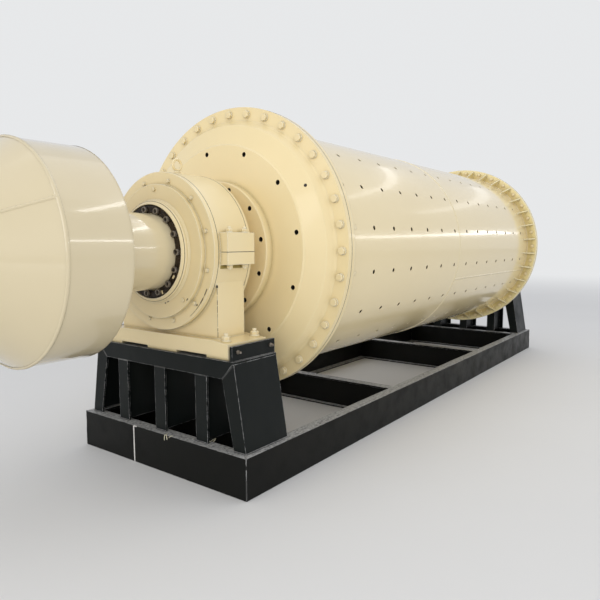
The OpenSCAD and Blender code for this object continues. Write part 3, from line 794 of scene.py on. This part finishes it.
# %% Adjusting screws in the stop plates
def adjusting_screws(end):
    stop_low, stop_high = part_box("pedestal_stops_" + end)
    middle = (stop_low.x + stop_high.x) / 2
    height = stop_low.z + 0.056
    screws = bmesh.new()
    for x in (-0.154, 0.154):
        for side in (-1, 1):
            face_y = stop_high.y * side
            outward = Matrix.Rotation(math.radians(-90 * side), 4, "X")
            inward = Matrix.Rotation(math.radians(90 * side), 4, "X")
            place = Matrix.Translation((middle + x, face_y, height)) @ outward
            add_hexagon(screws, place, 0.024, 0.010)
            add_stud(screws, place, 0.010, 0.030, 0.008, 0.002)
            point = Matrix.Translation((middle + x, face_y - side * 0.020, height)) @ inward
            add_turned(screws, point, [(0.008, -0.001), (0.008, 0.030), (0.006, 0.034)], 14)
    piece_from(screws, "adjusting_screws_" + end, rim_steel, "stand")


adjusting_screws("feed")
adjusting_screws("discharge")

# %% [markdown]
# ## Weld beads
# A weld is a row of overlapping puddles, each a little proud of the next. Sweeping a low arch along
# the seam and letting its height rise and fall gives that row. Random values come from a seeded
# generator, so the beads are the same in each run.

# %% Sweep a bead along a seam
arch = [(-0.5, -0.15), (-0.32, 0.72), (0.0, 1.0), (0.32, 0.72), (0.5, -0.15)]


def add_bead(bm, path, width, height, seed, closed=False, ripple=0.22):
    """path is a list of (point, outward). ripple is how far every second puddle stands proud."""
    dice = random.Random(seed)
    rows = []
    count = len(path)
    for k, (point, outward) in enumerate(path):
        ahead = path[(k + 1) % count][0] if (closed or k < count - 1) else point
        behind = path[k - 1][0] if (closed or k > 0) else point
        side = (ahead - behind).normalized().cross(outward).normalized()
        lift = height * (1.0 + ripple * (1 if k % 2 else -1) + dice.uniform(-0.10, 0.10))
        wide = width * (1.0 + dice.uniform(-0.08, 0.08))
        rows.append([bm.verts.new(point + side * (wide * a) + outward * (lift * b)) for a, b in arch])
    for first, second in zip(rows, rows[1:] + (rows[:1] if closed else [])):
        for j in range(len(arch) - 1):
            bm.faces.new((first[j], first[j + 1], second[j + 1], second[j]))
    if not closed:
        cap_ends(bm, rows[-1], rows[0])


def ring_path(x, radius, lean=0.0, pitch=0.008):
    """A ring seam around the drum. lean turns the outward direction from radial towards +X, in degrees."""
    count = int(2 * math.pi * radius / pitch)
    rise, run = math.cos(math.radians(lean)), math.sin(math.radians(lean))
    turns = [360.0 * k / count for k in range(count)]
    return [(on_drum(x, turn, radius), around(turn) * rise + along_x * run) for turn in turns]


def straight_path(start, end, outward, pitch=0.008):
    start, end = Vector(start), Vector(end)
    count = max(2, int((end - start).length / pitch))
    return [(start.lerp(end, k / count), Vector(outward).normalized()) for k in range(count + 1)]


def arc_path(x, radius, start, end, pitch=0.006):
    """Part of a ring on a face that looks along -X. start and end are degrees under the near side."""
    count = max(3, int(math.radians(abs(end - start)) * radius / pitch))
    turns = [90.0 + start + (end - start) * k / count for k in range(count + 1)]
    return [(on_drum(x, turn, radius), -along_x) for turn in turns]


print("bead helpers ready")

# %% [markdown]
# The shell is two rolled courses. A girth weld joins them, and each course has one lengthwise weld
# where its plate was closed; the two are set apart around the shell, as good practice asks. The
# flanges are fillet welded to the shell. Two of the liner bolt holes are painted shut.

# %% Welds of the shell
fillet = (0.014, 0.006)
seam_x = discharge_joint_x - flange_thick - 0.003


def lengthwise(bm, x0, x1, below, radius, seed):
    """A straight seam along the drum. below is the angle under the near side, in degrees."""
    turn = 90.0 + below
    path = straight_path(on_drum(x0, turn, radius), on_drum(x1, turn, radius), around(turn))
    add_bead(bm, path, 0.020, 0.0036, seed)


girth = bmesh.new()
add_bead(girth, ring_path(weld_x, shell_radius), 0.024, 0.0045, 3, True)
piece_from(girth, "girth_weld", plate_paint, "drum", True)

seams = bmesh.new()
lengthwise(seams, weld_x + 0.006, seam_x, 19.3, shell_radius, 5)
lengthwise(seams, feed_flange_x + 0.004, weld_x - 0.006, 199.3, shell_radius, 6)
piece_from(seams, "lengthwise_welds", plate_paint, "drum", True)

painted_shut = bmesh.new()
first_hole_x = low("shell_course_feed").x + 0.247
plug_profile = [(0.0166, -0.012), (0.0166, -0.0012), (0.0150, -0.0002), (0.0080, 0.0006)]
for turn in (80.0, 100.0):
    seat = seat_at(on_drum(first_hole_x, turn, shell_radius), around(turn))
    add_turned(painted_shut, seat, plug_profile, 24)
piece_from(painted_shut, "painted_plugs", plate_paint, "drum", True)

fillets = bmesh.new()
add_bead(fillets, ring_path(feed_flange_x + 0.002, shell_radius + 0.002, 45.0), *fillet, 7, True)
add_bead(fillets, ring_path(seam_x + 0.001, shell_radius + 0.002, -45.0), *fillet, 8, True)
piece_from(fillets, "flange_fillet_welds", plate_paint, "drum", True)

# %% [markdown]
# Where two flanges are clamped, the joint between them shows as a thin dark line around the rim. A
# bead under a millimetre high is enough for it.

# %% Dark lines between the clamped flanges
joints = bmesh.new()
for joint_x in (feed_joint_x, discharge_joint_x):
    add_bead(joints, ring_path(joint_x, flange_radius, pitch=0.02), 0.0045, 0.0007, 9, True)
piece_from(joints, "flange_joint_lines", dark_oil_and_shade, "drum", True)

# %% [markdown]
# Every gusset has a fillet weld on both sides, along the shell and up the flange. One loop makes
# them all, in one mesh.

# %% Welds of the gussets
gusset_weld = (0.009, 0.0045)
gusset_half = 0.0065
gusset_tip_x = low("shell_flange_discharge").x + 0.002
flange_face_x = discharge_joint_x - flange_thick - 0.0005
gusset_welds = bmesh.new()
for k in range(pockets):
    radial = around(360.0 * k / pockets)
    for side in (-1, 1):
        sideways = radial.cross(along_x) * side
        root = Vector((0.0, 0.0, axis_z)) + radial * (shell_radius + 0.001) + sideways * gusset_half
        along = straight_path(
            root + along_x * gusset_tip_x, root + along_x * seam_x, radial + sideways, 0.011)
        foot = root + along_x * flange_face_x
        upward = straight_path(foot + radial * 0.006, foot + radial * 0.090, sideways - along_x, 0.011)
        add_bead(gusset_welds, along, *gusset_weld, 20 + k)
        add_bead(gusset_welds, upward, *gusset_weld, 60 + k)
piece_from(gusset_welds, "gusset_welds", gusset_paint, "drum", True)

# %% [markdown]
# The drum feeder is plate work too: a cylinder, a cone and a back plate. The seams show as raised
# lines that break the reflections.

# %% Welds of the drum feeder
feeder_back = high("feeder_drum").x
feeder_front = low("feeder_drum").x
feeder_radius = radius_of("feeder_drum")
pipe_radius = radius_of("feed_pipe")
mouth_radius = 0.270
mouth_x = low("feeder_cone").x + 0.045
proud_seam = 0.0062

feeder_seams = bmesh.new()
corner_ring = ring_path(feeder_front, feeder_radius - 0.001, -20.0)
add_bead(feeder_seams, corner_ring, 0.020, proud_seam, 31, True, 0.35)
back_ring = ring_path(feeder_back - 0.002, feeder_radius - 0.002, 45.0)
add_bead(feeder_seams, back_ring, 0.010, 0.0030, 32, True)
pipe_ring = ring_path(feeder_back + 0.002, pipe_radius + 0.002, 45.0)
add_bead(feeder_seams, pipe_ring, *fillet, 33, True)
add_bead(feeder_seams, ring_path(mouth_x, mouth_radius, -25.0), 0.014, 0.004, 34, True)

cone_turn = 63.0
cone_start = on_drum(feeder_front, cone_turn, feeder_radius)
cone_end = on_drum(mouth_x, cone_turn, mouth_radius)
slope = (cone_start - cone_end).normalized()
off_cone = around(cone_turn) - slope * around(cone_turn).dot(slope)
cone_path = straight_path(cone_start, cone_end, off_cone, 0.010)
add_bead(feeder_seams, cone_path, 0.018, proud_seam, 35, ripple=0.35)
lengthwise(feeder_seams, feeder_front + 0.008, feeder_back - 0.008, 170.0, feeder_radius, 36)
piece_from(feeder_seams, "feeder_welds", shaded_feeder_paint, "drum", True)

# %% [markdown]
# ## Welds of the pedestals and the skid
# Each pedestal is a lintel on two leaning channels and three posts. The corners are mitred and
# welded, and the feet are welded to the skid. The same bead sweep follows these seams on both faces.

# %% Pedestal welds
foot_weld = (0.012, 0.005)
side_weld = (0.010, 0.0045)
post_half = 0.0525
leg_depth = 0.098


def pedestal_welds(end):
    top_low, top_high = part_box("pedestal_top_" + end)
    side_low, side_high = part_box("pedestal_side_near_" + end)
    skid_z = high("skid_beam_near").z
    weld_z = skid_z + 0.001
    lintel_z = top_low.z
    top_half = top_high.y
    foot_half = max(-side_low.y, side_high.y)
    stop_y = high("pedestal_stops_" + end).y
    seams = bmesh.new()

    def seam(start, end, outward, width, height, seed):
        add_bead(seams, straight_path(start, end, outward), width, height, seed)

    for face_x, out in ((top_low.x, -1), (top_high.x, 1)):
        proud_x = face_x + out * 0.001
        for side in (-1, 1):
            corner = (face_x, side * (top_half - 0.012), top_high.z - 0.024)
            seam(corner, (face_x, side * (top_half - 0.100), lintel_z), (out, 0, 0), 0.012, 0.0022, 41)
            foot_in = (proud_x, side * (foot_half - leg_depth), weld_z)
            seam((proud_x, side * foot_half, weld_z), foot_in, (out, 0, 1), *foot_weld, 42)
        for y in (-0.4, 0.0, 0.4):
            near, far = y - post_half, y + post_half
            seam((proud_x, near, weld_z), (proud_x, far, weld_z), (out, 0, 1), *foot_weld, 43)
            seam((face_x, near, lintel_z), (face_x, far, lintel_z), (out, 0, 0), 0.010, 0.0020, 44)
    for side in (-1, 1):
        foot = side * (foot_half + 0.0005)
        seam((top_low.x, foot, weld_z), (top_high.x, foot, weld_z), (0, side, 1), 0.013, 0.0055, 45)
        inner = side * (foot_half - 0.016)
        inner_start, inner_end = (top_low.x + 0.02, inner, skid_z), (top_high.x - 0.02, inner, skid_z)
        seam(inner_start, inner_end, (0, -side, 1), *side_weld, 49)
        stop = side * stop_y
        stop_start, stop_end = (top_low.x + 0.01, stop, top_high.z), (top_high.x - 0.01, stop, top_high.z)
        seam(stop_start, stop_end, (0, side, 1), *side_weld, 46)
    piece_from(seams, "pedestal_welds_" + end, rubbed_seam, "stand", True)


pedestal_welds("feed")
pedestal_welds("discharge")

# %% [markdown]
# The skid's beams meet in mitred corners. Each has a flat weld across the top flange and one down the
# outer corner, ground nearly flush and rubbed to grey.

# %% Skid corner welds
skid_low = Vector((low("skid_beam_near").x, low("skid_beam_near").y, 0.0))
skid_high = high("skid_beam_far")
corners = bmesh.new()
for x, in_x in ((skid_low.x, 1), (skid_high.x, -1)):
    for y, in_y in ((skid_low.y, 1), (skid_high.y, -1)):
        outer = (x + in_x * 0.002, y + in_y * 0.002, skid_high.z)
        inner = (x + in_x * 0.088, y + in_y * 0.088, skid_high.z)
        add_bead(corners, straight_path(outer, inner, (0, 0, 1)), 0.011, 0.0018, 47)
        down = straight_path((x, y, 0.004), (x, y, skid_high.z - 0.130), (-in_x, -in_y, 0))
        add_bead(corners, down, 0.008, 0.0012, 48)
piece_from(corners, "skid_corner_welds", rubbed_seam, "stand", True)

# %% [markdown]
# ## Small marks of use
# The feed end beam is made of two lengths. The joint was filled and left unpainted, so it stands out
# as a white line on the black web, with a short hook at its top where the filler ran over.

# %% The filled joint
web_x = skid_low.x
edge_z = skid_high.z
joint_y = 0.240
joint = bmesh.new()
seam_top = (web_x, joint_y, edge_z - 0.006)
hook_end = (web_x, joint_y - 0.034, edge_z - 0.004)
seam_path = straight_path((web_x, joint_y, 0.002), seam_top, (-1, 0, 0))
add_bead(joint, seam_path, 0.013, 0.0016, 51, ripple=0.1)
hook_path = straight_path(seam_top, hook_end, (-1, 0, 0), 0.005)
add_bead(joint, hook_path, 0.009, 0.0018, 50, ripple=0.1)
piece_from(joint, "filled_joint", joint_filler, "stand", True)

# %% [markdown]
# Beside the joint a bit of tying wire hangs over the flange's edge, and a scrap of it lies further
# along. A wire is a circle swept along a few points, like a bead with a closed section.

# %% The tying wire
def add_wire(bm, points, radius, sides=8):
    points = [Vector(p) for p in points]
    turns = [2 * math.pi * j / sides for j in range(sides)]
    rows = []
    for k, point in enumerate(points):
        along = (points[min(k + 1, len(points) - 1)] - points[max(k - 1, 0)]).normalized()
        side = along.cross(Vector((0.9, 0.1, 0.3))).normalized()
        upper = side.cross(along)
        offsets = [side * math.cos(t) + upper * math.sin(t) for t in turns]
        rows.append([bm.verts.new(point + offset * radius) for offset in offsets])
    for lower, upper in zip(rows, rows[1:]):
        skin(bm, lower, upper)
    cap_ends(bm, rows[0], rows[-1])


def from_edge(points):
    """Points from (inwards from the web, across, above the flange's edge)."""
    return [(web_x + inwards, y, edge_z + above) for inwards, y, above in points]


off_web = -0.0025
loop = ((-0.090, -0.038), (-0.0905, -0.022), (-0.093, -0.007), (-0.100, 0.0),
        (-0.107, 0.001), (-0.113, -0.006), (-0.1155, -0.018), (-0.117, -0.030))
tail = ((off_web, -0.103, 0.0), (0.002, -0.103, 0.0027), (0.018, -0.099, 0.0025))
end_bit = ((off_web, -0.136, -0.012), (off_web, -0.146, -0.004), (0.001, -0.155, 0.0023),
           (0.010, -0.163, 0.0022))
scrap = ((0.011, -0.446), (0.040, -0.436), (0.068, -0.427), (0.094, -0.430), (0.079, -0.441),
         (0.052, -0.450))
clip = bmesh.new()
add_wire(clip, from_edge([(off_web, y, above) for y, above in loop]), 0.0027)
add_wire(clip, from_edge(tail), 0.0025)
add_wire(clip, from_edge(end_bit), 0.0022)
add_wire(clip, [(x, y, edge_z + 0.0025) for x, y in scrap], 0.0022)
piece_from(clip, "tying_wire", clip_wire, "stand", True)

# %% [markdown]
# The parting line of each housing and the paper gasket under each cover show as thin dark lines. They
# are beads too, only a fraction of a millimetre high.

# %% Parting lines of the housings
line = (0.0042, 0.0007)
ear_start_y = 0.522
nose_radius = 0.3256


def parting_lines(end, sign):
    middle = housing_middle(end)
    ends = (middle - ear_half, middle + ear_half)
    lines = bmesh.new()
    for side in (-1, 1):
        near, far = side * ear_start_y, side * ear_end_y
        for face_x, out in zip(ends, (-1, 1)):
            path = straight_path((face_x, near, axis_z), (face_x, far, axis_z), (out, 0, 0))
            add_bead(lines, path, *line, 52)
        path = straight_path((ends[0], far, axis_z), (ends[1], far, axis_z), (0, side, 0))
        add_bead(lines, path, *line, 54)
    outer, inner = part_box("bearing_outer_cover_" + end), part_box("bearing_inner_cover_" + end)
    gaskets = (outer[1].x, inner[0].x) if sign < 0 else (outer[0].x, inner[1].x)
    for gasket_x in gaskets:
        add_bead(lines, ring_path(gasket_x, housing_radius, pitch=0.02), 0.0040, 0.0007, 55, True)
    # A thin dark line is also drawn around the foot of the outer cover's lip.
    nose_x = (outer[0].x if sign < 0 else outer[1].x) - sign * 0.0144
    nose_ring = ring_path(nose_x, nose_radius, sign * 45.0, 0.02)
    add_bead(lines, nose_ring, 0.0034, 0.0006, 56, True)
    piece_from(lines, "parting_lines_" + end, dark_oil_and_shade, "stand", True)


parting_lines("feed", -1)
parting_lines("discharge", 1)

# %% [markdown]
# Oil has crept out of the feed bearing. It left a smudge under the lip and a thin broken line down the
# near column's front corner. A dark broken slit runs low along the cover's rim, and a painted shadow
# lies beside one of the cover's screws. The line is made of beads of uneven length and width from a
# seeded generator.

# %% Oil marks and a painted shadow on the feed housing
mark_height = 0.0010
cover_face_x = high("bearing_outer_cover_feed").x - cover_plate
raised_face_x = cover_face_x - cover_ring
slit = ((27.0, 32.6, 0.0075), (33.2, 34.6, 0.0030), (35.0, 40.2, 0.0085), (40.6, 47.0, 0.0042),
        (47.6, 54.8, 0.0028))
smudges = ((73.8, 75.6, 0.346, 0.009), (68.4, 71.6, 0.344, 0.006), (43.6, 46.0, 0.424, 0.008))

dark_marks = bmesh.new()
for start, end, wide in slit:
    add_bead(dark_marks, arc_path(cover_face_x, 0.500, start, end), wide, mark_height, 57, ripple=0.1)
# Painted shadow of the cover screw at 134 degrees from the top, just outside it.
add_bead(dark_marks, arc_path(cover_face_x, 0.486, 42.6, 44.2), 0.010, mark_height, 61, ripple=0.1)
for start, end, radius, wide in smudges:
    add_bead(dark_marks, arc_path(raised_face_x, radius, start, end), wide, mark_height, 58, ripple=0.1)

column_x = housing_middle("feed") - ear_half


def column_mark(top, bottom, wide, height, seed):
    ends = [(column_x, column_y, z) for z in (top, bottom)]
    add_bead(dark_marks, straight_path(*ends, (-1, -1, 0), 0.004), wide, height, seed, ripple=0.2)


drips = random.Random(12)
column_mark(1.264, 1.246, 0.011, 0.0012, 59)
drip_z, lowest_drip = 1.243, 0.955
while drip_z > lowest_drip:
    length = drips.uniform(0.018, 0.060)
    wide = drips.uniform(0.0016, 0.0040)
    column_mark(drip_z, drip_z - length, wide, 0.0008, 60)
    drip_z -= length + drips.uniform(0.001, 0.009)
piece_from(dark_marks, "oil_and_shadow_marks", dark_oil_and_shade, "stand", True)

# %% [markdown]
# A painted shadow lies between the nuts under the near ear, as an olive dark band. It is one wide
# flat bead on the housing's round flank, with a strong ripple.

# %% Painted shadow under the near ear
ear_shadow_turn = 100.4
ear_shadow_spot = on_drum(column_x, ear_shadow_turn, housing_radius)
ear_shadow_ends = [ear_shadow_spot + along_x * reach for reach in (0.004, 0.236)]
grease = bmesh.new()
ear_shadow_path = straight_path(*ear_shadow_ends, around(ear_shadow_turn))
add_bead(grease, ear_shadow_path, 0.022, 0.0012, 62, ripple=0.3)
piece_from(grease, "ear_grease", old_grease, "stand", True)

# %% [markdown]
# The spray gun reached the dark retaining ring through the cover's opening and left two pale splashes
# between the bolts. They turn with the drum.

# %% Paint splashes on the retaining ring
splashes = bmesh.new()
ring_face_x = low("retaining_ring_feed").x
for start, end, radius, wide in ((32.0, 37.5, 0.276, 0.015), (64.5, 67.5, 0.283, 0.026)):
    add_bead(splashes, arc_path(ring_face_x, radius, start, end, 0.004), wide, 0.0009, 63, ripple=0.3)
piece_from(splashes, "paint_splashes", casting_paint, "drum", True)

# %% [markdown]
# A small plug closes a tapped hole in the feed end cap's cone. Its seat leans with the cone, so its
# outward direction is mixed from the axis and the radius.

# %% Plug in the feed end cap
plug_turn = 60.0
plug = bmesh.new()
spot = on_drum(feed_joint_x - 0.1135, plug_turn, 0.868)
lean = around(plug_turn) * 0.333 - along_x * 0.943
plug_steps = [(0.011, -0.002), (0.011, 0.001), (0.009, 0.002), (0.006, 0.002), (0.005, 0.0006)]
add_turned(plug, seat_at(spot, lean), plug_steps, 20)
piece_from(plug, "cap_plug", dark_oil_and_shade, "drum")

# %% [markdown]
# ## Finish
# The dressing is meant to stay within the model's size, apart from the thin lines and beads on its rims.

# %% Count the pieces made
print("pieces made:", len(made_pieces))
